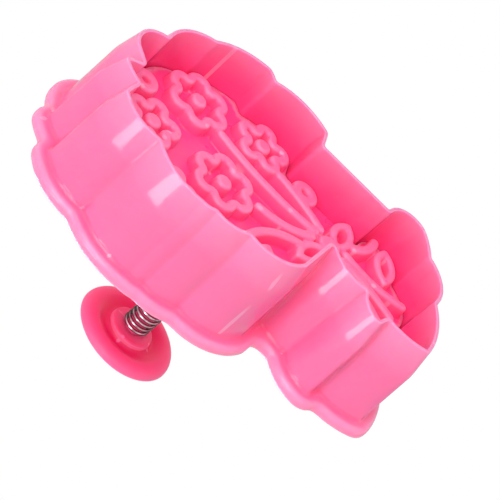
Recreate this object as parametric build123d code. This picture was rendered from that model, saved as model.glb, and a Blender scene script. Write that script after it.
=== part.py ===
from build123d import *
from math import atan, cos, degrees, pi, radians, sin
import os

# Plunger cutter for dough and sugar paste, in millimetres.
# The cutting edge lies in the plane z = 0, and the push knob is at the top.
# The origin is the middle of the cutting edge's outline, on the plunger's axis.

# Cutting edge outline, its two lobes lying along X
RIM_LENGTH = 75.0
RIM_WIDTH = 51.2

# Cutting wall
WALL_HEIGHT = 20.0
WALL_THICKNESS = 1.9
WALL_DRAFT = 0.5
EDGE_THICKNESS = 0.7
EDGE_TAPER_HEIGHT = 6.0
CORNER_RADIUS = 0.9
CAVITY_CORNER_RADIUS = 0.5
EDGE_CREASE_RADIUS = 0.4
FOOT_CREASE_RADIUS = 1.0

# Flange and deck, which share their upper face
FLANGE_OVERHANG = 2.5
FLANGE_THICKNESS = 2.4
FLANGE_ROUND = 0.9
FLANGE_NOTCH_RADIUS = 2.2
FOOT_ROUND = 0.8
DECK_THICKNESS = 2.0

# Guide sleeve under the deck and ring round the foot of the spring
SLEEVE_DIAMETER = 7.2
SLEEVE_LENGTH = 3.4
SEAT_WALL = 1.3
SEAT_HEIGHT = 1.6
SEAT_CLEARANCE = 0.35
SEAT_ROUND = 0.4

# Embossing plate, held at rest against the guide sleeve
PLATE_DEPTH = 9.9
PLATE_THICKNESS = 2.0
PLATE_CLEARANCE = 0.35
SKIRT_HEIGHT = 3.0
SKIRT_THICKNESS = 1.4
BOSS_DIAMETER = 8.0
RIB_THICKNESS = 1.2
RIB_HEIGHT = 2.2
RIB_COUNT = 8
SOCKET_FLOOR = 1.0

# Raised design: a posy tied at the waist of the plate
RELIEF_HEIGHT = 2.6
STROKE_WIDTH = 1.7
LARGE_BLOSSOM = 14.0
MEDIUM_BLOSSOM = 12.2
SMALL_BLOSSOM = 10.6
BLOSSOM_EYE = 3.2
BUD_DIAMETER = 5.6
BUD_HOLE = 1.8
LEAF_LENGTH = 9.5
LEAF_WIDTH = 5.0
LEAF_RING = 1.4
KNOT_DIAMETER = 4.6

# Plunger rod
ROD_DIAMETER = 3.6
ROD_CHAMFER = 0.3
GUIDE_CLEARANCE = 0.08

# Return spring, at its fitted length
WIRE_DIAMETER = 0.6
SPRING_DIAMETER = 5.5
SPRING_LENGTH = 23.2
SPRING_TURNS = 16
SPRING_FOOT_GAP = 0.05
SPRING_HEAD_GAP = 0.25

# Push knob
KNOB_DIAMETER = 20.7
KNOB_LIP_WIDTH = 1.2
KNOB_LIP_HEIGHT = 1.9
KNOB_CROWN = 2.6
KNOB_DISH = 0.9
COLLAR_DIAMETER = 9.1
COLLAR_HEIGHT = 1.5
COLLAR_ROUND = 0.35
KNOB_SOCKET_DEPTH = 3.6

# One overrun for every cut that has to pass right through a face
OVERRUN = 1.0

# The shortest edge that an outline keeps, and the steps that find a corner
OUTLINE_TOLERANCE = 0.00001
CORNER_STEPS = 8

# Corners of the cutting edge, counter-clockwise, as shares of half its length and half its width.
# The third share is the rise of the scallop that follows the corner, of that scallop's chord.
SCALLOP_SHARES = [
    (0.907, 0.102, 0.16),
    (0.760, 0.555, 0.105),
    (0.490, 0.866, 0.06),
    (0.427, 0.805, 0.133),
    (0.070, 0.862, 0),
    (0.037, 0.699, 0),
    (-0.403, 0.785, 0.27),
    (-0.592, 0.980, 0.06),
    (-0.712, 0.777, 0.185),
    (-0.880, 0.406, 0.09),
    (-1.001, -0.115, 0.090),
    (-0.760, -0.215, 0),
    (-0.736, -0.344, 0.207),
    (-0.592, -0.172, 0.186),
    (-0.331, -0.090, 0),
    (-0.315, -0.539, 0.184),
    (-0.035, -0.805, 0.14),
    (0.144, -0.922, 0.12),
    (0.211, -0.969, 0.14),
    (0.549, -0.859, 0.162),
    (0.817, -0.752, 0.03),
    (0.813, -0.582, 0.068),
    (0.947, -0.474, 0),
    (0.871, -0.364, 0),
    (0.960, -0.260, 0.25),
]

# The posy, as shares of half the cutting edge's length and half its width
LARGE_BLOSSOM_SHARES = [(0.600, 0.330, 6), (0.225, -0.140, 6)]
MEDIUM_BLOSSOM_SHARES = [(0.655, -0.290, 5), (0.235, 0.560, 5)]
SMALL_BLOSSOM_SHARES = [(0.365, -0.655, 5)]
BUD_SHARES = [(0.830, -0.020), (0.015, -0.530), (-0.070, 0.560)]
# Leaves and the loops of the bow: middle, and the angle of the tip in degrees
LEAF_SHARES = [
    (-0.165, -0.430, 75),
    (0.120, -0.725, -20),
    (0.640, -0.680, 12),
    (-0.600, 0.700, 64),
    (-0.625, -0.030, -6),
    (-0.345, 0.545, 84),
    (-0.300, 0.105, -70),
]
KNOT_SHARES = (-0.335, 0.330)
# Stems and ribbon ends: from, to, and the rise of the stroke over its chord
STROKE_SHARES = [
    (0.405, 0.255, -0.235, 0.320, -0.05),
    (0.030, -0.010, -0.240, 0.250, -0.10),
    (0.075, 0.470, -0.245, 0.395, 0.04),
    (-0.030, -0.435, -0.225, 0.060, 0.14),
    (-0.430, 0.330, -0.780, 0.300, 0.05),
    (-0.425, 0.420, -0.790, 0.520, -0.08),
    (-0.420, 0.235, -0.800, 0.090, 0.10),
    (-0.430, 0.560, -0.480, 0.830, -0.12),
    (-0.400, 0.120, -0.475, 0.035, 0.12),
]

# Places worked out from the sizes above
HALF_LENGTH = RIM_LENGTH / 2
HALF_WIDTH = RIM_WIDTH / 2
TAPER_RUN = WALL_THICKNESS - EDGE_THICKNESS
DECK_TOP = WALL_HEIGHT + FLANGE_THICKNESS
DECK_UNDERSIDE = DECK_TOP - DECK_THICKNESS
SLEEVE_END = DECK_UNDERSIDE - SLEEVE_LENGTH
PLATE_BACK = PLATE_DEPTH + PLATE_THICKNESS
SOCKET_BOTTOM = PLATE_BACK + SOCKET_FLOOR
COLLAR_FACE = DECK_TOP + SPRING_LENGTH
COLLAR_ROOT = COLLAR_FACE + COLLAR_HEIGHT
KNOB_UNDERSIDE = COLLAR_ROOT - KNOB_DISH
KNOB_WIDEST = KNOB_UNDERSIDE + KNOB_LIP_HEIGHT
ROD_TOP = COLLAR_FACE + KNOB_SOCKET_DEPTH


def placed(x_share, y_share):
    """Point of the outline or the design, from its shares of the cutting edge's size."""
    return Vector(x_share * HALF_LENGTH, y_share * HALF_WIDTH)


def bowed(start, end, rise_share):
    """Arc from start to end that stands out to the right of its chord, or a straight line."""
    chord = end - start
    if rise_share == 0:
        return Line(start, end)
    middle = (start + end) / 2 + Vector(chord.Y, -chord.X) * rise_share
    return ThreePointArc(start, middle, end)


def slab(outline, bottom, top):
    """Upright solid of a flat outline, from one height to another."""
    return extrude(Pos(0, 0, bottom) * outline, top - bottom)


def disc_block(diameter, bottom, top):
    """Upright round solid on the plunger's axis."""
    return slab(Circle(diameter / 2), bottom, top)


def make_scallops():
    """Lines and arcs of the cutting edge, counter-clockwise from its first corner."""
    corners = [placed(x_share, y_share) for x_share, y_share, rise_share in SCALLOP_SHARES]
    rises = [rise_share for x_share, y_share, rise_share in SCALLOP_SHARES]
    return [bowed(start, end, rise) for start, end, rise in zip(corners, corners[1:] + corners[:1], rises)]


def distance_outside(scallop, point):
    """How far a point lies outside a scallop's line or full circle, and the way straight out."""
    if scallop.geom_type == GeomType.LINE:
        along = scallop % 0
        outward = Vector(along.Y, -along.X)
        return (point - scallop @ 0).dot(outward), outward
    from_centre = point - scallop.arc_center
    return from_centre.length - scallop.radius, from_centre.normalized()


def corner_outside(before, after, reach):
    """Place that lies a reach outside both of the scallops that meet at a corner, by Newton's method."""
    point = after @ 0
    for step in range(CORNER_STEPS):
        gap_before, out_before = distance_outside(before, point)
        gap_after, out_after = distance_outside(after, point)
        spread = out_before.X * out_after.Y - out_before.Y * out_after.X
        move_x = (reach - gap_before) * out_after.Y - (reach - gap_after) * out_before.Y
        move_y = (reach - gap_after) * out_before.X - (reach - gap_before) * out_after.X
        point += Vector(move_x, move_y) / spread
    return point


def scallop_outside(scallop, start, end, reach):
    """A scallop moved out by a reach, between its two new ends."""
    if scallop.geom_type == GeomType.LINE:
        return Line(start, end)
    centre = scallop.arc_center
    outward = ((start + end) / 2 - centre).normalized()
    return ThreePointArc(start, centre + outward * (scallop.radius + reach), end)


def make_wall_outline(scallops, reach, crease_radius, corner_radius):
    """Face of the wall where it stands a reach outside the cutting edge, scallop by scallop."""
    befores = scallops[-1:] + scallops[:-1]
    corners = [corner_outside(before, after, reach) for before, after in zip(befores, scallops)]
    ends = corners[1:] + corners[:1]
    outline = Face(Wire([scallop_outside(*each, reach) for each in zip(scallops, corners, ends)]))
    turns = [(before % 1).cross(after % 0).Z for before, after in zip(befores, scallops)]
    creases = [corner for corner, turn in zip(corners, turns) if turn < 0]
    round_corners = [corner for corner, turn in zip(corners, turns) if turn > 0]
    for places, radius in ((creases, crease_radius), (round_corners, corner_radius)):
        outline = fillet([outline.vertices().sort_by_distance(place)[0] for place in places], radius)
    return outline


def redrawn(outline):
    """The same outline with each of its edges drawn as a plain line or arc."""
    edges = []
    for edge in outline.edges():
        if edge.geom_type == GeomType.LINE:
            edges.append(edge)
        elif edge.length > OUTLINE_TOLERANCE:
            edges.append(ThreePointArc(edge @ 0, edge @ 0.5, edge @ 1))
    return Face(Wire(edges))


def make_edge_outline(scallops):
    """Outer face of the wall at the cutting edge."""
    return make_wall_outline(scallops, 0, EDGE_CREASE_RADIUS, CORNER_RADIUS)


def make_cavity_outline(scallops):
    """Inner face of the wall, which runs straight from the deck to the edge."""
    return make_wall_outline(scallops, -EDGE_THICKNESS, EDGE_CREASE_RADIUS + EDGE_THICKNESS, CAVITY_CORNER_RADIUS)


def make_inner_outline(scallops, depth):
    """Outline that keeps a depth inside all the scallops, round the tips of the creases."""
    return redrawn(offset(Face(Wire(scallops)), -depth))


def make_flange_outline(scallops):
    """Edge of the flange, which follows the scallops with wider notches between them."""
    reach = TAPER_RUN + WALL_DRAFT + FLANGE_OVERHANG
    return redrawn(offset(offset(Face(Wire(scallops)), reach + FLANGE_NOTCH_RADIUS), -FLANGE_NOTCH_RADIUS))


def make_cutter_body(scallops):
    """Wall, flange, deck, guide sleeve and spring seat, which leave the mould as one piece."""
    flange = slab(make_flange_outline(scallops), WALL_HEIGHT, DECK_TOP)
    flange = fillet(flange.edges().filter_by(Plane.XY), FLANGE_ROUND)

    # The wall narrows a little on its way down from the flange, and more in its last stretch
    edge = make_edge_outline(scallops)
    knee = Pos(0, 0, EDGE_TAPER_HEIGHT) * make_wall_outline(scallops, TAPER_RUN, EDGE_CREASE_RADIUS, CORNER_RADIUS)
    foot_reach = TAPER_RUN + WALL_DRAFT
    foot = Pos(0, 0, WALL_HEIGHT) * make_wall_outline(scallops, foot_reach, FOOT_CREASE_RADIUS, CORNER_RADIUS)
    body = flange + loft([edge, knee, foot], ruled=True)
    # The level faces are, from below, the cutting edge, the flange's underside and the deck's back
    underside = body.faces().filter_by(Plane.XY).sort_by(Axis.Z)[1]
    body = fillet(underside.inner_wires()[0].edges(), FOOT_ROUND)
    body -= slab(make_cavity_outline(scallops), 0, DECK_UNDERSIDE)
    body += disc_block(SLEEVE_DIAMETER, SLEEVE_END, DECK_UNDERSIDE)

    seat_bore = SPRING_DIAMETER + 2 * SEAT_CLEARANCE
    seat = disc_block(seat_bore + 2 * SEAT_WALL, DECK_TOP, DECK_TOP + SEAT_HEIGHT)
    seat = fillet(seat.edges().group_by(Axis.Z)[-1], SEAT_ROUND)
    body += seat - disc_block(seat_bore, DECK_TOP, DECK_TOP + SEAT_HEIGHT + OVERRUN)
    return body - disc_block(ROD_DIAMETER + 2 * GUIDE_CLEARANCE, SLEEVE_END - OVERRUN, DECK_TOP + OVERRUN)


def blossom(centre, diameter, petals):
    """Outlined flower with a round eye: its petals are discs on a ring."""
    petal_radius = diameter / 5
    ring_radius = diameter / 2 - petal_radius
    flower = Circle(ring_radius)
    for petal in range(petals):
        angle = 2 * pi * petal / petals
        flower += Pos(ring_radius * cos(angle), ring_radius * sin(angle)) * Circle(petal_radius)
    flower -= offset(flower, -STROKE_WIDTH)
    return Pos(centre) * (flower + Circle(BLOSSOM_EYE / 2))


def leaf(centre, angle):
    """Pointed loop: two arcs that meet at its tips, with the middle left open."""
    tip = Vector(LEAF_LENGTH / 2, 0)
    belly = Vector(0, LEAF_WIDTH / 2)
    whole = Face(Wire([ThreePointArc(tip, belly, -tip), ThreePointArc(-tip, -belly, tip)]))
    return Pos(centre) * Rot(0, 0, angle) * (Sketch() + whole - offset(whole, -LEAF_RING))


def stroke(start, end, rise_share):
    """Bar of even width with round ends, along an arc."""
    return SlotArc(bowed(start, end, rise_share), STROKE_WIDTH)


def make_relief_outline():
    """The posy seen from the front, as one flat sketch."""
    relief = Sketch()
    sized_blossoms = [
        (LARGE_BLOSSOM, LARGE_BLOSSOM_SHARES),
        (MEDIUM_BLOSSOM, MEDIUM_BLOSSOM_SHARES),
        (SMALL_BLOSSOM, SMALL_BLOSSOM_SHARES),
    ]
    for diameter, shares in sized_blossoms:
        for x_share, y_share, petals in shares:
            relief += blossom(placed(x_share, y_share), diameter, petals)
    for x_share, y_share in BUD_SHARES:
        relief += Pos(placed(x_share, y_share)) * (Circle(BUD_DIAMETER / 2) - Circle(BUD_HOLE / 2))
    for x_share, y_share, angle in LEAF_SHARES:
        relief += leaf(placed(x_share, y_share), angle)
    for x_from, y_from, x_to, y_to, rise_share in STROKE_SHARES:
        relief += stroke(placed(x_from, y_from), placed(x_to, y_to), rise_share)
    return relief + Pos(placed(*KNOT_SHARES)) * Circle(KNOT_DIAMETER / 2)


def make_emboss_plate(scallops):
    """Plate with the posy raised on its face, and a skirt, ribs and the rod's boss on its back."""
    plate_outline = make_inner_outline(scallops, EDGE_THICKNESS + PLATE_CLEARANCE)
    plate = slab(plate_outline, PLATE_DEPTH, PLATE_BACK)
    inside_skirt = make_inner_outline(scallops, EDGE_THICKNESS + PLATE_CLEARANCE + SKIRT_THICKNESS)
    plate += slab(plate_outline, PLATE_BACK, PLATE_BACK + SKIRT_HEIGHT)
    plate -= slab(inside_skirt, PLATE_BACK, PLATE_BACK + SKIRT_HEIGHT + OVERRUN)

    ribs = Sketch()
    for rib in range(RIB_COUNT):
        ribs += Rot(0, 0, 180 * rib / RIB_COUNT) * Rectangle(RIM_LENGTH, RIB_THICKNESS)
    plate += slab(ribs & inside_skirt, PLATE_BACK, PLATE_BACK + RIB_HEIGHT)
    plate += disc_block(BOSS_DIAMETER, PLATE_BACK, SLEEVE_END)
    plate -= disc_block(ROD_DIAMETER, SOCKET_BOTTOM, SLEEVE_END + OVERRUN)
    return plate + slab(make_relief_outline(), PLATE_DEPTH - RELIEF_HEIGHT, PLATE_DEPTH)


def make_plunger_rod():
    """Round rod from the plate's boss, through the deck and the spring, into the knob."""
    rod = disc_block(ROD_DIAMETER, SOCKET_BOTTOM, ROD_TOP)
    return chamfer(rod.edges(), ROD_CHAMFER)


def tangent_biarc(start, start_direction, end, end_direction):
    """Two arcs, each tangent to the other, that join two points along the given directions."""
    chord = end - start
    both = start_direction + end_direction
    turn = 2 * (start_direction.dot(end_direction) - 1)
    along = chord.dot(both)
    reach = (along - (along * along - turn * chord.dot(chord)) ** 0.5) / turn
    before = start + start_direction * reach
    after = end - end_direction * reach
    joint = (before + after) / 2
    return [TangentArc(start, joint, tangent=start_direction), TangentArc(joint, end, tangent=after - before)]


def spring_path():
    """Centre line of the wire: a biarc for each half turn, flat where each end bears."""
    radius = (SPRING_DIAMETER - WIRE_DIAMETER) / 2
    foot = DECK_TOP + SPRING_FOOT_GAP + WIRE_DIAMETER / 2
    head = COLLAR_FACE - SPRING_HEAD_GAP - WIRE_DIAMETER / 2
    half_turns = 2 * SPRING_TURNS
    # The slope is nothing at both ends and even between them, so each end half turn rises by half a share
    half_pitch = (head - foot) / (half_turns - 1)
    nodes = []
    height = foot
    for index in range(half_turns + 1):
        at_end = index in (0, half_turns)
        angle = pi * index
        slope = 0 if at_end else half_pitch / (pi * radius)
        direction = Vector(-sin(angle), cos(angle), slope).normalized()
        nodes.append((Vector(radius * cos(angle), radius * sin(angle), height), direction))
        beside_end = index in (0, half_turns - 1)
        height += half_pitch / 2 if beside_end else half_pitch
    edges = []
    first_point, first_direction = nodes[0]
    edges.append(Line(first_point - first_direction * WIRE_DIAMETER, first_point))
    for (start, start_direction), (end, end_direction) in zip(nodes, nodes[1:]):
        edges += tangent_biarc(start, start_direction, end, end_direction)
    last_point, last_direction = nodes[-1]
    edges.append(Line(last_point, last_point + last_direction * WIRE_DIAMETER))
    return Wire(edges)


def print_coil_gap(path):
    """Least gap between two places of the wire that are half a turn or more apart."""
    steps_per_turn = 24
    steps = steps_per_turn * SPRING_TURNS
    points = [path.position_at(step / steps) for step in range(steps + 1)]
    least = SPRING_LENGTH
    for index, point in enumerate(points):
        for other in points[index + steps_per_turn // 2:index + 2 * steps_per_turn]:
            least = min(least, (other - point).length - WIRE_DIAMETER)
    print("least gap between coils", round(least, 3), "mm")


def make_return_spring():
    """Compression spring: one unbroken tube."""
    path = spring_path()
    print_coil_gap(path)
    section = Plane(origin=path.position_at(0), z_dir=path.tangent_at(0)) * Circle(WIRE_DIAMETER / 2)
    return sweep(section, path)


def make_push_knob():
    """Mushroom knob turned about the plunger's axis, with the rod's socket in its collar."""
    knob_radius = KNOB_DIAMETER / 2
    collar_radius = COLLAR_DIAMETER / 2
    lip = knob_radius - KNOB_LIP_WIDTH
    bulge_share = cos(radians(45))
    lip_middle = (lip + KNOB_LIP_WIDTH * bulge_share, KNOB_WIDEST - KNOB_LIP_HEIGHT * bulge_share)
    crown = KNOB_WIDEST + KNOB_CROWN
    # The crown is an arc that leaves the lip and is level on the axis
    crown_radius = (knob_radius ** 2 + KNOB_CROWN ** 2) / (2 * KNOB_CROWN)
    crown_angle = atan(knob_radius / (crown_radius - KNOB_CROWN)) / 2
    crown_side = crown_radius * sin(crown_angle)
    crown_height = crown - crown_radius * (1 - cos(crown_angle))
    dish_middle = ((collar_radius + lip) / 2, (COLLAR_ROOT + KNOB_UNDERSIDE) / 2 + KNOB_DISH / 4)
    profile = [
        Line((0, COLLAR_FACE), (collar_radius, COLLAR_FACE)),
        Line((collar_radius, COLLAR_FACE), (collar_radius, COLLAR_ROOT)),
        ThreePointArc((collar_radius, COLLAR_ROOT), dish_middle, (lip, KNOB_UNDERSIDE)),
        ThreePointArc((lip, KNOB_UNDERSIDE), lip_middle, (knob_radius, KNOB_WIDEST)),
        ThreePointArc((knob_radius, KNOB_WIDEST), (crown_side, crown_height), (0, crown)),
        Line((0, crown), (0, COLLAR_FACE)),
    ]
    knob = revolve(Plane.XZ * Face(Wire(profile)), Axis.Z)
    knob = fillet(knob.edges().group_by(Axis.Z)[0], COLLAR_ROUND)
    return knob - disc_block(ROD_DIAMETER, COLLAR_FACE - OVERRUN, ROD_TOP)


def main():
    os.makedirs("parts", exist_ok=True)
    scallops = make_scallops()
    pieces = {
        "cutter_body": make_cutter_body(scallops),
        "emboss_plate": make_emboss_plate(scallops),
        "plunger_rod": make_plunger_rod(),
        "return_spring": make_return_spring(),
        "push_knob": make_push_knob(),
    }
    for name, piece in pieces.items():
        export_step(piece, "parts/" + name + ".step")


main()
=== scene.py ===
import math

import bmesh
import bpy
import numpy as np
from mathutils import Matrix, Vector, geometry, kdtree


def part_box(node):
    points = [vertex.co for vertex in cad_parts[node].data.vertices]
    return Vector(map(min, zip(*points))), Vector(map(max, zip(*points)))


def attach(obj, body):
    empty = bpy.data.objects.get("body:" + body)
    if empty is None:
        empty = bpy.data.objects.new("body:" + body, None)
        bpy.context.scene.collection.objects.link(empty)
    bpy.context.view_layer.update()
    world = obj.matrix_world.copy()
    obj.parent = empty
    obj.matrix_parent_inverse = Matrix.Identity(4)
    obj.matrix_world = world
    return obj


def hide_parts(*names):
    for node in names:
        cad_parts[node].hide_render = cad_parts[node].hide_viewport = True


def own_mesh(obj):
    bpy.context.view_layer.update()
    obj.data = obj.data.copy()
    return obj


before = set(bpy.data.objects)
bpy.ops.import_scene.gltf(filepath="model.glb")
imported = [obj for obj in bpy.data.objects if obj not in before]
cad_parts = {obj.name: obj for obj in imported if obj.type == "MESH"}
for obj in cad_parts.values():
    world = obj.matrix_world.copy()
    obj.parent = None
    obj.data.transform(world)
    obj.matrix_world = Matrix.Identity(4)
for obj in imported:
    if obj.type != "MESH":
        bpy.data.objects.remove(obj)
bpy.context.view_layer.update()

MM = 0.001

# Sizes of the cutter that the outlines from the frame don't give, as in the CAD source
TAPER_RUN = 1.2 * MM
TAPER_HEIGHT = 6.0 * MM
FLANGE_THICKNESS = 2.4 * MM
FLANGE_ROUND = 0.9 * MM
FOOT_ROUND = 0.8 * MM
DECK_THICKNESS = 2.0 * MM
EDGE_ROUND = 0.22 * MM
DECK_FILLET = 0.5 * MM
SLEEVE_RADIUS = 3.6 * MM
SLEEVE_LENGTH = 3.4 * MM
BORE_RADIUS = 1.88 * MM
SEAT_INNER_RADIUS = 3.1 * MM
SEAT_OUTER_RADIUS = 4.4 * MM
SEAT_HEIGHT = 1.6 * MM
SMALL_ROUND = 0.3 * MM

# Depth inside the wall at which the painted shade is deepest, and the plate's back's share of that painted
# shade
PAINTED_SHADE_DEPTH = 9.0 * MM
BACK_PAINTED_SHADE = 0.4

# How much painted light pales the wall at its thin edge, how high up that reaches, and how much painted
# highlight and painted light pale the flange's edge and underside
PAINTED_LIGHT_SHARE = 0.4
PAINTED_LIGHT_DEPTH = 8.0 * MM
FLANGE_EDGE_HIGHLIGHT = 0.4
FLANGE_FACE_PAINTED_LIGHT = 0.2

# How much rougher the deck's back is than the rest of the body
MATTE_ROUGHNESS = 0.45

# Levels of the rings outside and, as shares of the depth, inside. The pair beside the knee softens it
WALL_LEVELS = [height * MM for height in (1.6, 3.2, 4.6, 5.5, 6.5, 7.4, 10.0, 13.0, 16.0)]
CAVITY_SHARES = (0.75, 0.5, 0.35, 0.2, 0.1)
SECTION_MARGIN = 0.01 * MM
# Narrow level band beside each round, which keeps the level faces' shading even
LEVEL_BAND = 0.3 * MM
# The smoothed flange keeps this far inside the CAD model's box
BOX_MARGIN = 0.03 * MM

# Heights in the frame
EDGE_Z = 0.0
WALL_TOP = 20.0 * MM
DECK_TOP = WALL_TOP + FLANGE_THICKNESS
DECK_UNDERSIDE = DECK_TOP - DECK_THICKNESS
PLATE_FACE = 9.9 * MM
RELIEF_HEIGHT = 2.6 * MM
RELIEF_FACE = PLATE_FACE - RELIEF_HEIGHT
SPRING_SPACE = 23.2 * MM
COLLAR_FACE = DECK_TOP + SPRING_SPACE

# Spring
WIRE_RADIUS = 0.3 * MM
COIL_RADIUS = 2.45 * MM
COIL_TURNS = 19.5
END_TURNS = 0.4
OPENING_TURNS = 0.8
END_SLOPE = 0.62

# Knob
KNOB_RADIUS = 10.35 * MM
KNOB_LIP_WIDTH = 2.6 * MM
KNOB_LIP_HEIGHT = 1.9 * MM
KNOB_CROWN = 2.6 * MM
CROWN_BULGE = 2.3
CROWN_FULLNESS = 0.8
KNOB_DISH = 0.9 * MM
COLLAR_RADIUS = 4.55 * MM
COLLAR_HEIGHT = 1.5 * MM
COLLAR_ROUND = 0.6 * MM
DISH_ROUND = 0.9 * MM
BORE_BEVEL = 0.2 * MM
ROD_RADIUS = 1.8 * MM

# How closely the frame's corners are joined and told to be level
WELD = 0.005 * MM
SEAM_WIDTH = 0.02 * MM
LEVEL_TOLERANCE = 0.002 * MM

# How closely the meshes follow the outlines
OUTLINE_STEP = 0.22 * MM
FILL_STEP = 1.1 * MM
LOOP_BLUR = 1.0
LONG_RUN = 2.5 * MM
LONG_RUN_STEP = 0.5 * MM
ROUND_STEPS = 5
TURN_STEPS = 96
ROD_TURN_STEPS = 48
ROD_RING_SHARES = (0.25, 0.5, 0.75)
KNOB_TURN_STEPS = 128
DISH_STEPS = 12
LIP_STEPS = 10
CROWN_STEPS = 16
COIL_STEPS = 40
WIRE_SIDES = 14


# Outlines read from the frame

def node_copy(node):
    """A copy of the node's mesh with its faces joined at their corners."""
    mesh = bmesh.new()
    mesh.from_mesh(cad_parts[node].data)
    bmesh.ops.remove_doubles(mesh, verts=mesh.verts, dist=WELD)
    mesh.verts.index_update()
    mesh.verts.ensure_lookup_table()
    return mesh


def chained(pairs):
    """Closed chains of the corners that pairs link."""
    links = {}
    for first, second in pairs:
        if first != second and second not in links.get(first, []):
            links.setdefault(first, []).append(second)
            links.setdefault(second, []).append(first)
    chains = []
    while links:
        here = next(iter(links))
        chain = []
        while links.get(here):
            chain.append(here)
            following = links[here].pop()
            links[following].remove(here)
            here = following
        for corner in chain + [here]:
            if corner in links and not links[corner]:
                del links[corner]
        chains.append(chain)
    return chains


def point_tree(points):
    """Search tree of (x, y) points."""
    tree = kdtree.KDTree(len(points))
    for index, (x, y) in enumerate(points):
        tree.insert((x, y, 0), index)
    tree.balance()
    return tree


def widest_first(loops):
    return sorted(loops, key=lambda loop: abs(signed_area(loop)), reverse=True)


def section_loop(node, height):
    """The outer one of the closed loops of (x, y) points in which a level plane cuts the node."""
    mesh = node_copy(node)
    whole = mesh.verts[:] + mesh.edges[:] + mesh.faces[:]
    cut = bmesh.ops.bisect_plane(mesh, geom=whole, plane_co=(0, 0, height), plane_no=(0, 0, 1))["geom_cut"]
    places = [vert.co[:2] for edge in cut if isinstance(edge, bmesh.types.BMEdge) for vert in edge.verts]
    mesh.free()
    tree = point_tree(places)
    names = []
    for x, y in places:
        nearest = min(index for _, index, _ in tree.find_range((x, y, 0), SEAM_WIDTH))
        names.append(names[nearest] if nearest < len(names) else nearest)
    chains = chained(zip(names[::2], names[1::2]))
    return widest_first([np.array([places[name] for name in chain]) for chain in chains])[0]


def level_pairs(edges, height, side_count):
    """Corners of the edges at one height that have a number of level faces beside them."""
    for edge in edges:
        if any(abs(vert.co.z - height) > LEVEL_TOLERANCE for vert in edge.verts):
            continue
        level_faces = [face for face in edge.link_faces
                       if all(abs(vert.co.z - height) < LEVEL_TOLERANCE for vert in face.verts)]
        if len(level_faces) == side_count:
            yield edge.verts[0].index, edge.verts[1].index


def flat_loops(node, height):
    """Closed loops of (x, y) points that bound the node's level faces at one height, the widest first."""
    mesh = node_copy(node)
    chains = chained(level_pairs(mesh.edges, height, 1))
    loops = [np.array([mesh.verts[index].co[:2] for index in chain]) for chain in chains]
    mesh.free()
    return widest_first(loops)


def perimeter(loop):
    return np.linalg.norm(np.roll(loop, -1, 0) - loop, axis=1).sum()


def signed_area(loop):
    following = np.roll(loop, -1, 0)
    return 0.5 * np.sum(loop[:, 0] * following[:, 1] - following[:, 0] * loop[:, 1])


def smooth_loop(loop, step):
    """The loop counter-clockwise, as evenly spaced points on a smooth curve through its own points."""
    if signed_area(loop) < 0:
        loop = loop[::-1]
    points = []
    for point, following in zip(loop, np.roll(loop, -1, 0)):
        points.append(point)
        run = np.linalg.norm(following - point)
        if run > LONG_RUN:
            pieces = int(run / LONG_RUN_STEP)
            points += [point + (following - point) * piece / pieces for piece in range(1, pieces)]
    points = np.array(points)
    ahead = np.roll(points, -1, 0) - points
    run_ahead = np.linalg.norm(ahead, axis=1)[:, None]
    slope_ahead = ahead / run_ahead
    run_behind = np.roll(run_ahead, 1, 0)
    slope_behind = np.roll(slope_ahead, 1, 0)
    slope = (slope_ahead * run_behind + slope_behind * run_ahead) / (run_ahead + run_behind)
    lengths = np.concatenate([[0], np.cumsum(run_ahead[:, 0])])
    count = int(lengths[-1] / step)
    wanted = np.arange(count) * lengths[-1] / count
    index = np.clip(np.searchsorted(lengths, wanted, side="right") - 1, 0, len(points) - 1)
    share = ((wanted - lengths[index]) / run_ahead[index, 0])[:, None]
    following = (index + 1) % len(points)
    run = run_ahead[index]
    curve = (points[index] * (2 * share ** 3 - 3 * share ** 2 + 1)
             + points[following] * (3 * share ** 2 - 2 * share ** 3)
             + run * slope[index] * (share ** 3 - 2 * share ** 2 + share)
             + run * slope[following] * (share ** 3 - share ** 2))
    return blurred_loop(curve, LOOP_BLUR)


def bell_curve(sigma):
    """Reach of a bell curve of sigma points, and its weights."""
    reach = int(3 * sigma) + 1
    weights = np.exp(-0.5 * (np.arange(-reach, reach + 1) / sigma) ** 2)
    return reach, weights / weights.sum()


def blurred_loop(values, sigma):
    """Values along a loop, each averaged with its neighbours by a bell curve of sigma points."""
    reach, weights = bell_curve(sigma)
    shifts = range(-reach, reach + 1)
    return sum(weight * np.roll(values, shift, 0) for weight, shift in zip(weights, shifts))


def outward(loop):
    """Unit normals that point out of a counter-clockwise loop."""
    along = np.roll(loop, -1, 0) - np.roll(loop, 1, 0)
    normals = np.stack([along[:, 1], -along[:, 0]], axis=1)
    return normals / np.linalg.norm(normals, axis=1)[:, None]


# Mesh building

def quarter_round(start, end, leaving):
    """Points (reach, height) of a quarter ellipse from start to end, which leaves start along one axis."""
    (start_reach, start_height), (end_reach, end_height) = start, end
    points = []
    for step in range(ROUND_STEPS + 1):
        angle = math.pi / 2 * step / ROUND_STEPS
        slow, fast = 1 - math.cos(angle), math.sin(angle)
        reach_share, height_share = (fast, slow) if leaving == "reach" else (slow, fast)
        points.append((start_reach + (end_reach - start_reach) * reach_share,
                       start_height + (end_height - start_height) * height_share))
    return points


def add_ring(mesh, loop, height):
    return [mesh.verts.new((x, y, height)) for x, y in loop]


def join_rings(mesh, ring, following):
    for index in range(len(ring)):
        after = (index + 1) % len(ring)
        mesh.faces.new((ring[index], ring[after], following[after], following[index]))


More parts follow.
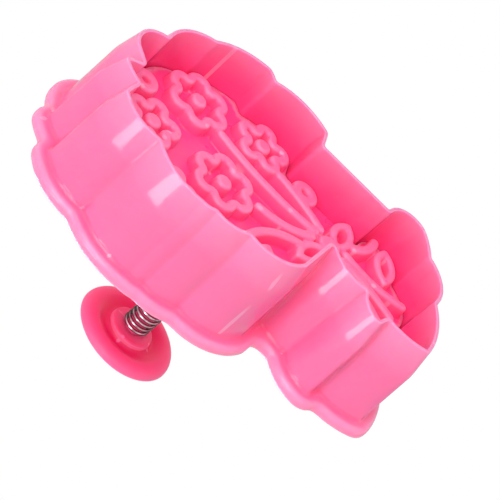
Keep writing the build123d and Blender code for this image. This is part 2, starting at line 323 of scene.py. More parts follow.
def stitch_rings(mesh, ring, following):
    """Band of triangles between two rings that run the same way, whatever their counts."""
    first = ring[0].co
    nearest = min(range(len(following)), key=lambda index: (following[index].co - first).length)
    following = following[nearest:] + following[:nearest]
    ring, following = ring + ring[:1], following + following[:1]
    here = there = 0
    while here < len(ring) - 1 or there < len(following) - 1:
        step_here = there == len(following) - 1
        if not step_here and here < len(ring) - 1:
            across = (ring[here + 1].co - following[there].co).length
            step_here = across <= (following[there + 1].co - ring[here].co).length
        if step_here:
            mesh.faces.new((ring[here], ring[here + 1], following[there]))
            here += 1
        else:
            mesh.faces.new((ring[here], following[there + 1], following[there]))
            there += 1


def add_profile(mesh, loop, normals, profile):
    """Band of rings round a loop, at each (reach, height) of the profile. Gives the first and last ring."""
    rings = [add_ring(mesh, loop + normals * reach, height) for reach, height in profile]
    for ring, following in zip(rings, rings[1:]):
        join_rings(mesh, ring, following)
    return rings[0], rings[-1]


def add_turned(mesh, profile, steps=TURN_STEPS):
    """Rings about the Z axis, at each (radius, height) of the profile. Gives the first and last ring."""
    angles = [2 * math.pi * step / steps for step in range(steps)]
    unit = np.array([(math.cos(angle), math.sin(angle)) for angle in angles])
    return add_profile(mesh, unit * 0, unit, profile)


def fill_between(mesh, *rings):
    """Level face inside the first ring and outside the others, as even triangles."""
    outlines = [np.array([vert.co[:2] for vert in ring]) for ring in rings]
    corners = [vert for ring in rings for vert in ring]
    points, edges = [], []
    for outline in outlines:
        start = len(points)
        points += [tuple(point) for point in outline]
        edges += [(start + index, start + (index + 1) % len(outline)) for index in range(len(outline))]
    tree = point_tree(points)
    low, high = outlines[0].min(0), outlines[0].max(0)
    for x in np.arange(low[0], high[0], FILL_STEP):
        for y in np.arange(low[1], high[1], FILL_STEP):
            if tree.find((x, y, 0))[2] > FILL_STEP / 2 and inside_first((x, y), outlines):
                points.append((x, y))
    made = geometry.delaunay_2d_cdt([Vector(point) for point in points], edges, [], 1, LEVEL_TOLERANCE)
    verts = []
    for (x, y), sources in zip(made[0], made[3]):
        on_ring = [source for source in sources if source < len(corners)]
        if on_ring:
            verts.append(corners[on_ring[0]])
            continue
        verts.append(mesh.verts.new((x, y, corners[0].co.z)))
        for layer in mesh.verts.layers.float.values():
            verts[-1][layer] = corners[0][layer]
    for face in made[2]:
        centre = sum((made[0][index] for index in face), Vector((0, 0))) / len(face)
        if inside_first(centre, outlines):
            mesh.faces.new([verts[index] for index in face])


def inside_first(point, outlines):
    """Whether a point lies inside the first outline and outside the others."""
    return in_polygon(point, outlines[0]) and not any(in_polygon(point, outline) for outline in outlines[1:])


def in_polygon(point, polygon):
    x, y = point
    following = np.roll(polygon, -1, 0)
    crossing = (polygon[:, 1] > y) != (following[:, 1] > y)
    start, end = polygon[crossing], following[crossing]
    at = start[:, 0] + (end[:, 0] - start[:, 0]) * (y - start[:, 1]) / (end[:, 1] - start[:, 1])
    return bool(np.sum(at > x) % 2)


def add_cap(mesh, ring, height):
    """Closes a ring of a turned piece at the axis."""
    centre = mesh.verts.new((0, 0, height))
    for vert, following in zip(ring, ring[1:] + ring[:1]):
        mesh.faces.new((vert, following, centre))


def finished(mesh, name, body, material, nodes, flat_angle=40):
    """Turns a bmesh into a piece that rides on a body and stands for its CAD nodes."""
    bmesh.ops.recalc_face_normals(mesh, faces=mesh.faces)
    data = bpy.data.meshes.new(name)
    mesh.to_mesh(data)
    mesh.free()
    data.shade_smooth()
    data.set_sharp_from_angle(angle=math.radians(flat_angle))
    piece = bpy.data.objects.new(name, data)
    bpy.context.scene.collection.objects.link(piece)
    data.materials.append(material)
    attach(piece, body)
    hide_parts(*nodes)
    return piece


# Cutter body

def make_cutter_body(material):
    """Wall, flange, deck, guide sleeve and spring seat as one moulding."""
    rim_loop, cavity_loop = flat_loops("cutter_body", EDGE_Z)[:2]
    rim = smooth_loop(rim_loop, OUTLINE_STEP)
    cavity = smooth_loop(cavity_loop, OUTLINE_STEP)
    deck = smooth_loop(section_loop("cutter_body", (WALL_TOP + DECK_TOP) / 2), OUTLINE_STEP)
    deck_normals = outward(deck)
    mesh = bmesh.new()
    painted_shade = mesh.verts.layers.float.new("painted_shade")
    painted_light = mesh.verts.layers.float.new("painted_light")
    matte = mesh.verts.layers.float.new("matte")

    # Cavity, down to the rounded cutting edge
    profile = quarter_round((-DECK_FILLET, DECK_UNDERSIDE), (0, DECK_UNDERSIDE - DECK_FILLET), "reach")
    profile += [(0, DECK_UNDERSIDE * share) for share in CAVITY_SHARES]
    profile += quarter_round((0, EDGE_ROUND), (EDGE_ROUND, EDGE_Z), "height")
    ceiling, inner_lip = add_profile(mesh, cavity, outward(cavity), profile)
    # Painted shade: the cavity's colour deepens with depth inside the wall
    for vert in mesh.verts:
        vert[painted_shade] = min(1.0, vert.co.z / PAINTED_SHADE_DEPTH)

    # Up the outside, which leans out to the knee and less above it
    lean = TAPER_RUN / TAPER_HEIGHT
    profile = quarter_round((-EDGE_ROUND, EDGE_Z), (EDGE_ROUND * lean, EDGE_ROUND), "reach")
    outer_lip, ring = add_profile(mesh, rim, outward(rim), profile)
    stitch_rings(mesh, outer_lip, inner_lip)
    for height in WALL_LEVELS:
        following = add_ring(mesh, smooth_loop(section_loop("cutter_body", height), OUTLINE_STEP), height)
        stitch_rings(mesh, ring, following)
        ring = following
    wall = smooth_loop(section_loop("cutter_body", WALL_TOP - FOOT_ROUND - SECTION_MARGIN), OUTLINE_STEP)
    profile = quarter_round((0, WALL_TOP - FOOT_ROUND), (FOOT_ROUND, WALL_TOP), "height")
    profile.append((FOOT_ROUND + LEVEL_BAND / 2, WALL_TOP))
    following, foot = add_profile(mesh, wall, outward(wall), profile)
    stitch_rings(mesh, ring, following)
    # Painted light: both sides of the wall pale towards the thin cutting edge, as if light shone through it,
    # fading up the wall
    for vert in mesh.verts:
        vert[painted_light] = PAINTED_LIGHT_SHARE * max(0.0, 1 - vert.co.z / PAINTED_LIGHT_DEPTH)

    # Round the flange's edge to the deck's back
    narrowest = -FLANGE_ROUND
    profile = [(narrowest - LEVEL_BAND, WALL_TOP)]
    profile += quarter_round((narrowest, WALL_TOP), (-BOX_MARGIN, WALL_TOP + FLANGE_ROUND), "reach")
    profile += quarter_round((-BOX_MARGIN, DECK_TOP - FLANGE_ROUND), (narrowest, DECK_TOP), "height")
    profile.append((narrowest - LEVEL_BAND, DECK_TOP))
    wall_count = len(mesh.verts)
    underside, back = add_profile(mesh, deck, deck_normals, profile)
    # Painted highlight on the flange's rounded edge, fading to painted light on its underside and none on the
    # deck's back
    for vert in mesh.verts[:][wall_count:]:
        vert[painted_light] = FLANGE_EDGE_HIGHLIGHT
    for ring, share, dull in ((underside, FLANGE_FACE_PAINTED_LIGHT, 0.0), (back, 0.0, 1.0)):
        for vert in ring:
            vert[painted_light], vert[matte] = share, dull
    fill_between(mesh, underside, foot)

    # Guide sleeve, bore and spring seat, from the deck's underside to its back
    sleeve_end = DECK_UNDERSIDE - SLEEVE_LENGTH
    profile = quarter_round(
        (SLEEVE_RADIUS + SMALL_ROUND, DECK_UNDERSIDE), (SLEEVE_RADIUS, DECK_UNDERSIDE - SMALL_ROUND), "reach")
    profile += quarter_round(
        (SLEEVE_RADIUS, sleeve_end + SMALL_ROUND), (SLEEVE_RADIUS - SMALL_ROUND, sleeve_end), "height")
    profile += [(BORE_RADIUS, sleeve_end), (BORE_RADIUS, DECK_TOP), (SEAT_INNER_RADIUS, DECK_TOP)]
    seat_top = DECK_TOP + SEAT_HEIGHT
    profile += quarter_round(
        (SEAT_INNER_RADIUS, seat_top - SMALL_ROUND), (SEAT_INNER_RADIUS + SMALL_ROUND, seat_top), "height")
    profile += quarter_round(
        (SEAT_OUTER_RADIUS - SMALL_ROUND, seat_top), (SEAT_OUTER_RADIUS, seat_top - SMALL_ROUND), "reach")
    profile += quarter_round(
        (SEAT_OUTER_RADIUS, DECK_TOP + SMALL_ROUND), (SEAT_OUTER_RADIUS + SMALL_ROUND, DECK_TOP), "height")
    profile.append((SEAT_OUTER_RADIUS + SMALL_ROUND + LEVEL_BAND, DECK_TOP))
    sleeve_root, seat_root = add_turned(mesh, profile)
    fill_between(mesh, ceiling, sleeve_root)
    fill_between(mesh, back, seat_root)
    return finished(mesh, "cutter_moulding", "cutter", material, ["cutter_body"])


# Embossing plate

# The relief's side: how far outside its outline the root's fillet starts, where the steep side lies,
# and how far inside the outline the round of its upper edge ends
ROOT_START = 0.55 * MM
SIDE_FOOT = 0.24 * MM
SIDE_HEAD = 0.12 * MM
ROUND_END = -0.55 * MM
TOP_ROUND_HEIGHT = 0.7 * MM
RELIEF_LEVELS = [level * MM for level in (0.55, 0.4, 0.3, 0.24, 0.12, 0.06, -0.04, -0.2, -0.38)]
FIELD_STEP = 0.16 * MM
FIELD_BLUR = 0.2 * MM
CONTOUR_STEP = 0.3 * MM
SHORTEST_CONTOUR = 1.2 * MM
SAMPLE_STEP = 0.06 * MM
FIELD_MARGIN = 1.0 * MM

# Spacing of the points between the contours, on the plate and on the relief's top, and their clearances
PLATE_STEP = 0.9 * MM
CROWN_STEP = 0.28 * MM
CROWN_MARGIN = 0.1 * MM
BORDER_MARGIN = 0.4 * MM


def relief_rise(distance):
    """Height of the relief's surface over the plate, at a signed distance from its outline."""
    fillet = ROOT_START - SIDE_FOOT
    at_root = np.clip(ROOT_START - distance, 0, fillet)
    root = fillet - np.sqrt(np.maximum(fillet ** 2 - at_root ** 2, 0))
    head = RELIEF_HEIGHT - TOP_ROUND_HEIGHT
    side_share = np.clip((SIDE_FOOT - distance) / (SIDE_FOOT - SIDE_HEAD), 0, 1)
    side = fillet + (head - fillet) * side_share
    round_share = np.clip((distance - ROUND_END) / (SIDE_HEAD - ROUND_END), 0, 1)
    crown = head + TOP_ROUND_HEIGHT * np.sqrt(1 - round_share ** 2)
    return np.where(distance > SIDE_FOOT, root, np.where(distance > SIDE_HEAD, side, crown))


class Field:
    """Signed distance from the relief's outline, smoothed a little, on a level grid."""

    def __init__(self, loops, low, high):
        self.xs = np.arange(low[0] - FIELD_MARGIN, high[0] + FIELD_MARGIN, FIELD_STEP)
        self.ys = np.arange(low[1] - FIELD_MARGIN, high[1] + FIELD_MARGIN, FIELD_STEP)
        grid_x, grid_y = np.meshgrid(self.xs, self.ys, indexing="ij")
        inside = np.zeros(grid_x.shape, bool)
        samples = []
        for loop in loops:
            following = np.roll(loop, -1, 0)
            for (x1, y1), (x2, y2) in zip(loop, following):
                pieces = max(1, int(math.hypot(x2 - x1, y2 - y1) / SAMPLE_STEP))
                samples += [(x1 + (x2 - x1) * i / pieces, y1 + (y2 - y1) * i / pieces) for i in range(pieces)]
                columns = np.where((y1 > self.ys) != (y2 > self.ys))[0]
                if len(columns):
                    crossing = x1 + (x2 - x1) * (self.ys[columns] - y1) / (y2 - y1)
                    inside[:, columns] ^= self.xs[:, None] < crossing[None, :]
        tree = point_tree(samples)
        distance = np.empty(grid_x.shape)
        for i, x in enumerate(self.xs):
            for j, y in enumerate(self.ys):
                distance[i, j] = tree.find((x, y, 0))[2]
        distance[inside] *= -1
        self.values = blurred_grid(distance, FIELD_BLUR / FIELD_STEP)

    def at(self, points):
        """Values at (x, y) points, between the grid's own."""
        u = (points[:, 0] - self.xs[0]) / FIELD_STEP
        v = (points[:, 1] - self.ys[0]) / FIELD_STEP
        i = np.clip(u.astype(int), 0, len(self.xs) - 2)
        j = np.clip(v.astype(int), 0, len(self.ys) - 2)
        u, v = u - i, v - j
        values = self.values
        low = values[i, j] * (1 - v) + values[i, j + 1] * v
        high = values[i + 1, j] * (1 - v) + values[i + 1, j + 1] * v
        return low * (1 - u) + high * u

    def contours(self, level):
        """Closed loops along which the field has the level's value."""
        values = self.values - level
        sign = values < 0
        count = sign[:-1, :-1].astype(int) + sign[1:, :-1] + sign[1:, 1:] + sign[:-1, 1:]
        links = {}
        for i, j in np.argwhere((count > 0) & (count < 4)):
            corners = [(i, j), (i + 1, j), (i + 1, j + 1), (i, j + 1)]
            crossed = []
            for corner, following in zip(corners, corners[1:] + corners[:1]):
                if sign[corner] != sign[following]:
                    crossed.append((min(corner, following), max(corner, following)))
            if len(crossed) == 4 and sign[i, j] != (values[i:i + 2, j:j + 2].mean() < 0):
                crossed = crossed[1:] + crossed[:1]
            for first, second in zip(crossed[::2], crossed[1::2]):
                links.setdefault(first, []).append(second)
                links.setdefault(second, []).append(first)
        loops = []
        while links:
            start = next(iter(links))
            chain = [start]
            while True:
                following = [key for key in links[chain[-1]] if key in links and key not in chain[-2:]]
                if not following:
                    break
                chain.append(following[0])
                if following[0] == start:
                    break
                if len(chain) > 2:
                    links.pop(chain[-2], None)
            for key in chain:
                links.pop(key, None)
            points = []
            for low, high in chain:
                share = values[low] / (values[low] - values[high])
                x = self.xs[low[0]] + (self.xs[high[0]] - self.xs[low[0]]) * share
                y = self.ys[low[1]] + (self.ys[high[1]] - self.ys[low[1]]) * share
                points.append((x, y))
            loops.append(np.array(points))
        return loops


def blurred_grid(values, sigma):
    """Values on a grid, each averaged with its neighbours both ways by a bell curve of sigma points."""
    reach, weights = bell_curve(sigma)
    for axis in (0, 1):
        padding = [(reach, reach) if a == axis else (0, 0) for a in (0, 1)]
        padded = np.pad(values, padding, mode="edge")
        span = values.shape[axis]
        values = sum(weight * padded.take(range(k, k + span), axis) for k, weight in enumerate(weights))
    return values


def even_loop(loop, step):
    """Points evenly spaced along a closed loop."""
    closed = np.vstack([loop, loop[:1]])
    lengths = np.concatenate([[0], np.cumsum(np.linalg.norm(np.diff(closed, axis=0), axis=1))])
    count = max(6, int(lengths[-1] / step))
    wanted = np.arange(count) * lengths[-1] / count
    return np.stack([np.interp(wanted, lengths, closed[:, axis]) for axis in (0, 1)], axis=1)


def make_emboss_plate(material):
    """The CAD plate's back half with a new face, whose relief has rounded edges and a fillet at its root."""
    mesh = node_copy("emboss_plate")
    front_limit = PLATE_FACE + LEVEL_TOLERANCE
    front = [face for face in mesh.faces if max(vert.co.z for vert in face.verts) < front_limit]
    bmesh.ops.delete(mesh, geom=front, context="FACES")
    mesh.verts.index_update()
    mesh.verts.ensure_lookup_table()
    chains = chained(level_pairs(mesh.edges, PLATE_FACE, 0))
    rings = [[mesh.verts[index] for index in chain] for chain in chains]
    ring = max(rings, key=lambda ring: abs(signed_area(np.array([vert.co[:2] for vert in ring]))))
    ring_indices = [vert.index for vert in ring]
    outline = np.array([vert.co[:2] for vert in ring])

    loops = flat_loops("emboss_plate", RELIEF_FACE)
    field = Field(loops, outline.min(0), outline.max(0))
    points = [tuple(point) for point in outline]
    edges = [(index, (index + 1) % len(points)) for index in range(len(points))]
    for level in RELIEF_LEVELS:
        for loop in field.contours(level):
            if perimeter(loop) < SHORTEST_CONTOUR:
                continue
            loop = even_loop(loop, CONTOUR_STEP)
            start = len(points)
            points += [tuple(point) for point in loop]
            edges += [(start + index, start + (index + 1) % len(loop)) for index in range(len(loop))]
    points += free_points(field, outline)
    made = geometry.delaunay_2d_cdt([Vector(point) for point in points], edges, [], 1, LEVEL_TOLERANCE)
    flat = np.array([vert[:] for vert in made[0]])
    rise = relief_rise(field.at(flat))
    painted_shade = mesh.verts.layers.float.new("painted_shade")
    mesh.verts.ensure_lookup_table()
    ring = [mesh.verts[index] for index in ring_indices]
    # Painted shade: the plate's face takes the deepest colour, and its back a share of it
    for vert in mesh.verts:
        vert[painted_shade] = 1.0 if vert.co.z < front_limit else BACK_PAINTED_SHADE
    verts = []
    for index, (x, y) in enumerate(flat):
        sources = made[3][index]
        on_ring = [source for source in sources if source < len(ring)]
        if on_ring:
            verts.append(ring[on_ring[0]])
        else:
            vert = mesh.verts.new((x, y, PLATE_FACE - rise[index]))
            # Painted shade, deepest on the plate between the relief's strokes and none on their tops
            vert[painted_shade] = 1 - rise[index] / RELIEF_HEIGHT
            verts.append(vert)
    for face in made[2]:
        corners = [verts[index] for index in face]
        if len(set(corners)) == 3:
            mesh.faces.new(corners)
    nodes = ["emboss_plate"]
    return finished(mesh, "embossing_plate", "plunger", material, nodes, flat_angle=50)


def free_points(field, outline):
    """Points on the plate and on the relief's top that lie between the contours."""
    chosen = []
    plate_rows = (PLATE_STEP, ROOT_START + PLATE_STEP / 3, math.inf)
    crown_rows = (CROWN_STEP, -math.inf, RELIEF_LEVELS[-1] - CROWN_MARGIN)
    for step, low, high in (plate_rows, crown_rows):
        xs = np.arange(outline[:, 0].min(), outline[:, 0].max(), step)
        ys = np.arange(outline[:, 1].min(), outline[:, 1].max(), step * math.sin(math.radians(60)))
        for row, y in enumerate(ys):
            points = np.stack([xs + (row % 2) * step / 2, np.full(len(xs), y)], axis=1)
            values = field.at(points)
            chosen.append(points[(values > low) & (values < high)])
    points = np.vstack(chosen)
    tree = point_tree(outline)
    return [tuple(point) for point in points
            if in_polygon(point, outline) and tree.find((*point, 0))[2] > BORDER_MARGIN]


# Rod, spring and knob

def make_rod(material):
    """Round rod from the plate's boss to the knob."""
    low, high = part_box("plunger_rod")
    mesh = bmesh.new()
    profile = quarter_round((ROD_RADIUS - SMALL_ROUND, low.z), (ROD_RADIUS, low.z + SMALL_ROUND), "reach")
    profile += [(ROD_RADIUS, low.z + (high.z - low.z) * share) for share in ROD_RING_SHARES]
    profile += quarter_round((ROD_RADIUS, high.z - SMALL_ROUND), (ROD_RADIUS - SMALL_ROUND, high.z), "height")
    first, last = add_turned(mesh, profile, ROD_TURN_STEPS)
    add_cap(mesh, first, low.z)
    add_cap(mesh, last, high.z)
    return finished(mesh, "rod", "plunger", material, ["plunger_rod"])


def make_spring(material):
    """Round wire wound from the deck to the knob's collar, with closer turns at both ends."""
    low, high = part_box("return_spring")
    bottom, top = low.z + WIRE_RADIUS, high.z - WIRE_RADIUS
    steps = int(COIL_TURNS * COIL_STEPS)
    slopes = []
    for step in range(steps):
        turns_from_end = min(step, steps - 1 - step) / COIL_STEPS
        opened = min(1.0, max(0.0, turns_from_end - END_TURNS) / OPENING_TURNS)
        slopes.append(END_SLOPE + (1 - END_SLOPE) * opened)
    heights = np.concatenate([[0], np.cumsum(slopes)])
    heights = bottom + (top - bottom) * heights / heights[-1]
    mesh = bmesh.new()
    rings = []
    for step in range(steps + 1):
        angle = 2 * math.pi * step / COIL_STEPS
        centre = Vector((COIL_RADIUS * math.cos(angle), COIL_RADIUS * math.sin(angle), heights[step]))
        out = Vector((math.cos(angle), math.sin(angle), 0))
        rings.append([
            mesh.verts.new(centre + (out * math.cos(turn) + Vector((0, 0, 1)) * math.sin(turn)) * WIRE_RADIUS)
            for turn in (2 * math.pi * side / WIRE_SIDES for side in range(WIRE_SIDES))
        ])
    for ring, following in zip(rings, rings[1:]):
        join_rings(mesh, ring, following)
    mesh.faces.new(rings[0])
    mesh.faces.new(rings[-1][::-1])
    piece = finished(mesh, "spring", "cutter", material, ["return_spring"], flat_angle=60)
    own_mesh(piece)
    return piece


def make_knob(material):
    """Mushroom knob: collar, dished underside, round lip and a low crown."""
    collar_root = COLLAR_FACE + COLLAR_HEIGHT
    underside = collar_root - KNOB_DISH
    widest = underside + KNOB_LIP_HEIGHT
    lip = KNOB_RADIUS - KNOB_LIP_WIDTH
    mesh = bmesh.new()
    painted_shade = mesh.verts.layers.float.new("painted_shade")
    profile = [(ROD_RADIUS, COLLAR_FACE + BORE_BEVEL), (ROD_RADIUS + BORE_BEVEL, COLLAR_FACE)]
    profile += quarter_round(
        (COLLAR_RADIUS - COLLAR_ROUND, COLLAR_FACE), (COLLAR_RADIUS, COLLAR_FACE + COLLAR_ROUND), "reach")
    profile += quarter_round(
        (COLLAR_RADIUS, collar_root - DISH_ROUND), (COLLAR_RADIUS + DISH_ROUND, collar_root), "height")
    dish_start = COLLAR_RADIUS + DISH_ROUND
    for step in range(1, DISH_STEPS + 1):
        share = step / DISH_STEPS
        sag = KNOB_DISH * (0.5 + 0.5 * math.cos(math.pi * share))
        profile.append((dish_start + (lip - dish_start) * share, underside + sag))
    for step in range(1, LIP_STEPS + 1):
        angle = math.pi / 2 * step / LIP_STEPS
        profile.append((lip + KNOB_LIP_WIDTH * math.sin(angle), widest - KNOB_LIP_HEIGHT * math.cos(angle)))
    for step in range(1, CROWN_STEPS):
        angle = math.pi / 2 * step / CROWN_STEPS
        radius = KNOB_RADIUS * math.cos(angle)
        rise = KNOB_CROWN * (1 - (radius / KNOB_RADIUS) ** CROWN_BULGE) ** CROWN_FULLNESS
        profile.append((radius, widest + rise))
    first, last = add_turned(mesh, profile, KNOB_TURN_STEPS)
    add_cap(mesh, last, widest + KNOB_CROWN)
    # Painted shade in the knob's dish, deepest beside the collar's root
    for vert in mesh.verts:
        radius = math.hypot(vert.co.x, vert.co.y)
        dish_shade = 1 - abs(radius - COLLAR_RADIUS - DISH_ROUND) / (KNOB_RADIUS - COLLAR_RADIUS - DISH_ROUND)
        vert[painted_shade] = max(0.0, dish_shade) if vert.co.z < widest else 0.0
    rod_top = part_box("plunger_rod")[1].z
    socket = add_ring(mesh, np.array([vert.co[:2] for vert in first]), rod_top)
    join_rings(mesh, socket, first)
    add_cap(mesh, socket, rod_top)
    return finished(mesh, "knob", "plunger", material, ["push_knob"], flat_angle=60)


# Materials

# Scales of the noises, in waves per metre, and the wire's colours, the last of them a painted dark reflection
FLOW_SCALE = 60
WAVE_SCALE = 180
GRAIN_SCALE = 900
STAIN_SCALE = 800
LINE_SCALE = 4000
BRIGHT_STEEL = (0.95, 0.9, 0.88, 1)
STAINED_STEEL = (0.3, 0.24, 0.24, 1)
PAINTED_DARK_REFLECTION = (0.05, 0.022, 0.022, 1)
WIRE_ROUGHNESS = (0.12, 0.28)

# Parts of a noise's, an edge's and a side's range over which a colour changes, and how far it does: on edges,
# painted shade in crevices and a painted highlight on ridges, and on the wire's sides, a painted dark
# reflection
NOISE_SPAN = (0.3, 0.7)
STAIN_SPAN = (0.35, 0.7)
CREVICE_SHADE_SPAN = (0.42, 0.49)
CREVICE_SHADE_SHARE = 0.9
RIDGE_HIGHLIGHT_SPAN = (0.51, 0.58)
RIDGE_HIGHLIGHT_SHARE = 0.75
DARK_REFLECTION_SPAN = (0.12, 0.5)
DARK_REFLECTION_SHARE = 0.95

# How far light scatters in each plastic, and the shares of that for red, green and blue
SCATTER_SHARES = (1.0, 0.25, 0.4)
WALL_SCATTER = 3.0 * MM
PLATE_SCATTER = 2.0 * MM
KNOB_SCATTER = 1.5 * MM
ROD_SCATTER = 1.0 * MM

# Depths of the plastics' grain and of the wire's lines
GRAIN_DEPTH = 0.02 * MM
LINE_DEPTH = 0.01 * MM


def new_material(name):
    material = bpy.data.materials.new(name)
    material.use_nodes = True
    nodes = material.node_tree.nodes
    return material, nodes, material.node_tree.links, nodes["Principled BSDF"]


def noise(nodes, links, source, scale, detail=2.0):
    texture = nodes.new("ShaderNodeTexNoise")
    texture.inputs["Scale"].default_value = scale
    texture.inputs["Detail"].default_value = detail
    links.new(source, texture.inputs["Vector"])
    return texture.outputs["Fac"]


def ranged(nodes, links, source, low, high, out_low, out_high):
    mapping = nodes.new("ShaderNodeMapRange")
    for name, value in (("From Min", low), ("From Max", high), ("To Min", out_low), ("To Max", out_high)):
        mapping.inputs[name].default_value = value
    links.new(source, mapping.inputs["Value"])
    return mapping.outputs["Result"]


def mixed(nodes, links, share, first, second):
    """Colour between two colours, or a colour and an output, by a share output."""
    mix = nodes.new("ShaderNodeMix")
    mix.data_type = "RGBA"
    links.new(share, mix.inputs["Factor"])
    for socket, value in ((mix.inputs["A"], first), (mix.inputs["B"], second)):
        if isinstance(value, tuple):
            socket.default_value = value
        else:
            links.new(value, socket)
    return mix.outputs["Result"]


def make_plastic(name, colours, roughness, glow, scatter, crevice_shade_colour=None):
    """Glossy translucent moulding with faint flow marks, with painted shade that deepens its colour in
    hollows and, where a crevice colour is given, in crevices, and painted light that pales it at thin edges,
    on the flange and on ridges.
    """
    colour, flow_colour, painted_light_colour, painted_shade_colour = colours
    material, nodes, links, shader = new_material(name)
    place = nodes.new("ShaderNodeTexCoord").outputs["Object"]
    flow = noise(nodes, links, place, FLOW_SCALE, 3)
    grain = noise(nodes, links, place, GRAIN_SCALE)
    waves = noise(nodes, links, place, WAVE_SCALE)
    body = mixed(nodes, links, ranged(nodes, links, flow, *NOISE_SPAN, 0, 1), colour, flow_colour)
    # Painted light pales the colour and painted shade deepens it, where the mesh's attributes say
    for layer, shade in (("painted_light", painted_light_colour), ("painted_shade", painted_shade_colour)):
        share = nodes.new("ShaderNodeAttribute")
        share.attribute_name = layer
        body = mixed(nodes, links, share.outputs["Fac"], body, shade)
    edge = nodes.new("ShaderNodeNewGeometry").outputs["Pointiness"]
    # Painted shade: crevices, where Pointiness is low, turn a deeper red
    if crevice_shade_colour:
        crevice_shade = ranged(nodes, links, edge, *CREVICE_SHADE_SPAN, CREVICE_SHADE_SHARE, 0)
        body = mixed(nodes, links, crevice_shade, body, crevice_shade_colour)
    # Painted highlight: ridges, where Pointiness is high, turn paler
    ridge_highlight = ranged(nodes, links, edge, *RIDGE_HIGHLIGHT_SPAN, 0, RIDGE_HIGHLIGHT_SHARE)
    links.new(mixed(nodes, links, ridge_highlight, body, painted_light_colour), shader.inputs["Base Color"])
    matte = nodes.new("ShaderNodeAttribute")
    matte.attribute_name = "matte"
    dulled = nodes.new("ShaderNodeMath")
    dulled.operation = "MULTIPLY_ADD"
    dulled.inputs[1].default_value = MATTE_ROUGHNESS
    links.new(matte.outputs["Fac"], dulled.inputs[0])
    links.new(ranged(nodes, links, waves, *NOISE_SPAN, roughness * 0.8, roughness * 1.25), dulled.inputs[2])
    links.new(dulled.outputs["Value"], shader.inputs["Roughness"])
    shader.inputs["Specular IOR Level"].default_value = 0.5
    shader.inputs["Subsurface Weight"].default_value = glow
    shader.inputs["Subsurface Radius"].default_value = SCATTER_SHARES
    shader.inputs["Subsurface Scale"].default_value = scatter
    bump = nodes.new("ShaderNodeBump")
    bump.inputs["Strength"].default_value = 0.05
    bump.inputs["Distance"].default_value = GRAIN_DEPTH
    links.new(grain, bump.inputs["Height"])
    links.new(bump.outputs["Normal"], shader.inputs["Normal"])
    return material


def make_wire():
    """Bright drawn wire with a painted dark reflection towards its sides, with fine lines and faint tarnish.
    """
    material, nodes, links, shader = new_material("spring_wire")
    place = nodes.new("ShaderNodeTexCoord").outputs["Object"]
    stain = noise(nodes, links, place, STAIN_SCALE, 3)
    stained = ranged(nodes, links, stain, *STAIN_SPAN, 0, 1)
    colour = mixed(nodes, links, stained, BRIGHT_STEEL, STAINED_STEEL)
    # Painted dark reflection, which grows towards the wire's sides as they turn away from view
    facing = nodes.new("ShaderNodeLayerWeight")
    facing.inputs["Blend"].default_value = 0.5
    side = ranged(nodes, links, facing.outputs["Facing"], *DARK_REFLECTION_SPAN, 0, DARK_REFLECTION_SHARE)
    links.new(mixed(nodes, links, side, colour, PAINTED_DARK_REFLECTION), shader.inputs["Base Color"])
    shader.inputs["Metallic"].default_value = 1.0
    links.new(ranged(nodes, links, stain, *NOISE_SPAN, *WIRE_ROUGHNESS), shader.inputs["Roughness"])
    bump = nodes.new("ShaderNodeBump")
    bump.inputs["Strength"].default_value = 0.1
    bump.inputs["Distance"].default_value = LINE_DEPTH
    links.new(noise(nodes, links, place, LINE_SCALE), bump.inputs["Height"])
    links.new(bump.outputs["Normal"], shader.inputs["Normal"])
    return material


# Floor, background, lights and camera

WORLD_LIGHT = 0.72
WORLD_SEEN = 1.0
AIM = Vector((0, 0, 12 * MM))
FLOOR_HALF = 1500 * MM
FLOOR_WHITE = (0.86, 0.86, 0.86, 1)

# Softboxes: direction from the cutter, distance, width and height in metres, and power in watts
SOFTBOXES = {
    "near_front": ((0.30, -0.93, 0.20), 0.6, 0.22, 0.2, 0.8),
    "front_low": ((0.25, -0.75, -0.65), 0.8, 0.5, 0.5, 3.3),
    "below": ((0.1, -0.3, -0.95), 0.8, 0.5, 0.5, 1.3),
    "top": ((0.2, 0.1, 1.0), 0.8, 0.5, 0.5, 4.0),
}

# The photograph's camera
LENS_MM = 174.96
SENSOR_MM = 36
CAMERA_PLACE = (0.00261, -0.36399, -0.21803)
CAMERA_RIGHT = Vector((-0.6656, 0.3949, -0.6333))
CAMERA_UP = Vector((0.7462, 0.3682, -0.5546))


def make_floor():
    """White floor that the cutter stands on. It has one side, because the camera looks up from below it."""
    data = bpy.data.meshes.new("floor")
    corners = [(x * FLOOR_HALF, y * FLOOR_HALF, 0) for x, y in ((-1, -1), (1, -1), (1, 1), (-1, 1))]
    data.from_pydata(corners, [], [(0, 1, 2, 3)])
    floor = bpy.data.objects.new("floor", data)
    bpy.context.scene.collection.objects.link(floor)
    material, nodes, links, shader = new_material("floor_white")
    shader.inputs["Base Color"].default_value = FLOOR_WHITE
    shader.inputs["Roughness"].default_value = 0.9
    clear = nodes.new("ShaderNodeBsdfTransparent")
    sided = nodes.new("ShaderNodeMixShader")
    links.new(nodes.new("ShaderNodeNewGeometry").outputs["Backfacing"], sided.inputs["Fac"])
    links.new(shader.outputs["BSDF"], sided.inputs[1])
    links.new(clear.outputs["BSDF"], sided.inputs[2])
    links.new(sided.outputs["Shader"], nodes["Material Output"].inputs["Surface"])
    data.materials.append(material)
    floor.visible_shadow = False
    floor.visible_diffuse = False
    floor.visible_glossy = False
    floor.visible_transmission = False


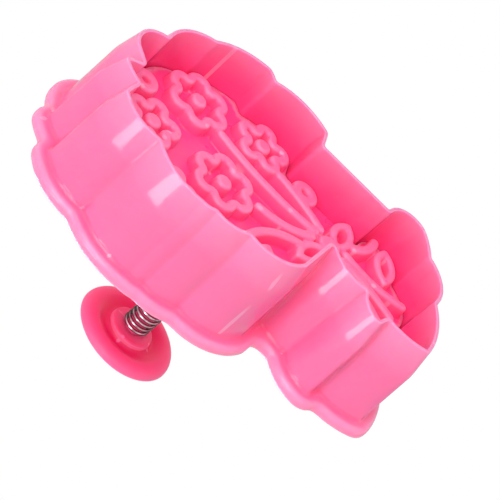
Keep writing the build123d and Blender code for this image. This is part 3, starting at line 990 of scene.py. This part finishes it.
def make_world():
    """White to the camera and through clear things, and a soft grey light elsewhere, in mirrors too."""
    world = bpy.data.worlds.new("studio")
    bpy.context.scene.world = world
    world.use_nodes = True
    nodes, links = world.node_tree.nodes, world.node_tree.links
    background = nodes["Background"]
    path = nodes.new("ShaderNodeLightPath")
    seen = nodes.new("ShaderNodeMath")
    seen.operation = "MAXIMUM"
    links.new(path.outputs["Is Camera Ray"], seen.inputs[0])
    links.new(path.outputs["Is Transmission Ray"], seen.inputs[1])
    strength = ranged(nodes, links, seen.outputs["Value"], 0, 1, WORLD_LIGHT, WORLD_SEEN)
    background.inputs["Color"].default_value = (1, 1, 1, 1)
    links.new(strength, background.inputs["Strength"])


def add_softbox(name, direction, distance, width, height, power):
    """Soft lamp that looks at the cutter's middle from a direction."""
    lamp = bpy.data.lights.new(name, "AREA")
    lamp.shape = "RECTANGLE"
    lamp.size, lamp.size_y = width, height
    lamp.energy = power
    softbox = bpy.data.objects.new(name, lamp)
    bpy.context.scene.collection.objects.link(softbox)
    direction = Vector(direction).normalized()
    softbox.location = AIM + direction * distance
    softbox.rotation_euler = direction.to_track_quat("Z", "Y").to_euler()


def make_lights():
    for name, (direction, distance, width, height, power) in SOFTBOXES.items():
        add_softbox(name, direction, distance, width, height, power)


def make_camera():
    """Camera at the photograph's place, which looks up at the cutting edge from in front and below."""
    data = bpy.data.cameras.new("camera")
    data.lens = LENS_MM
    data.sensor_width = SENSOR_MM
    data.clip_start, data.clip_end = 0.01, 20
    camera = bpy.data.objects.new("camera", data)
    bpy.context.scene.collection.objects.link(camera)
    turn = Matrix((CAMERA_RIGHT, CAMERA_UP, CAMERA_RIGHT.cross(CAMERA_UP))).transposed()
    camera.matrix_world = Matrix.Translation(CAMERA_PLACE) @ turn.to_4x4()
    bpy.context.scene.camera = camera


# Each plastic's own colour, then that of its flow marks, then its painted light at thin edges and on ridges,
# and its painted shade in hollows
PINK = (
    (1.0, 0.18, 0.385, 1),
    (1.0, 0.16, 0.36, 1),
    (1.0, 0.37, 0.56, 1),
    (1.0, 0.06, 0.28, 1),
)
PLATE_PINK = PINK[:3] + ((1.0, 0.06, 0.275, 1),)
CRIMSON = (
    (0.94, 0.12, 0.31, 1),
    (0.92, 0.1, 0.285, 1),
    (1.0, 0.22, 0.43, 1),
    (0.76, 0.005, 0.115, 1),
)
# Painted shade in the wall's crevices
PAINTED_CREVICE_SHADE = (1.0, 0.02, 0.19, 1)

wall_plastic = make_plastic(
    "wall_plastic_pink", PINK, roughness=0.12, glow=0.9, scatter=WALL_SCATTER, crevice_shade_colour=PAINTED_CREVICE_SHADE)
plate_plastic = make_plastic(
    "plate_plastic_pink", PLATE_PINK, roughness=0.34, glow=0.8, scatter=PLATE_SCATTER)
knob_plastic = make_plastic("knob_plastic_crimson", CRIMSON, roughness=0.45, glow=0.6, scatter=KNOB_SCATTER)
rod_plastic = make_plastic("rod_plastic_crimson", CRIMSON, roughness=0.3, glow=0.2, scatter=ROD_SCATTER)

make_cutter_body(wall_plastic)
make_emboss_plate(plate_plastic)
make_rod(rod_plastic)
make_spring(make_wire())
make_knob(knob_plastic)
make_floor()
make_world()
make_lights()
make_camera()

bpy.context.scene.view_settings.view_transform = "Standard"
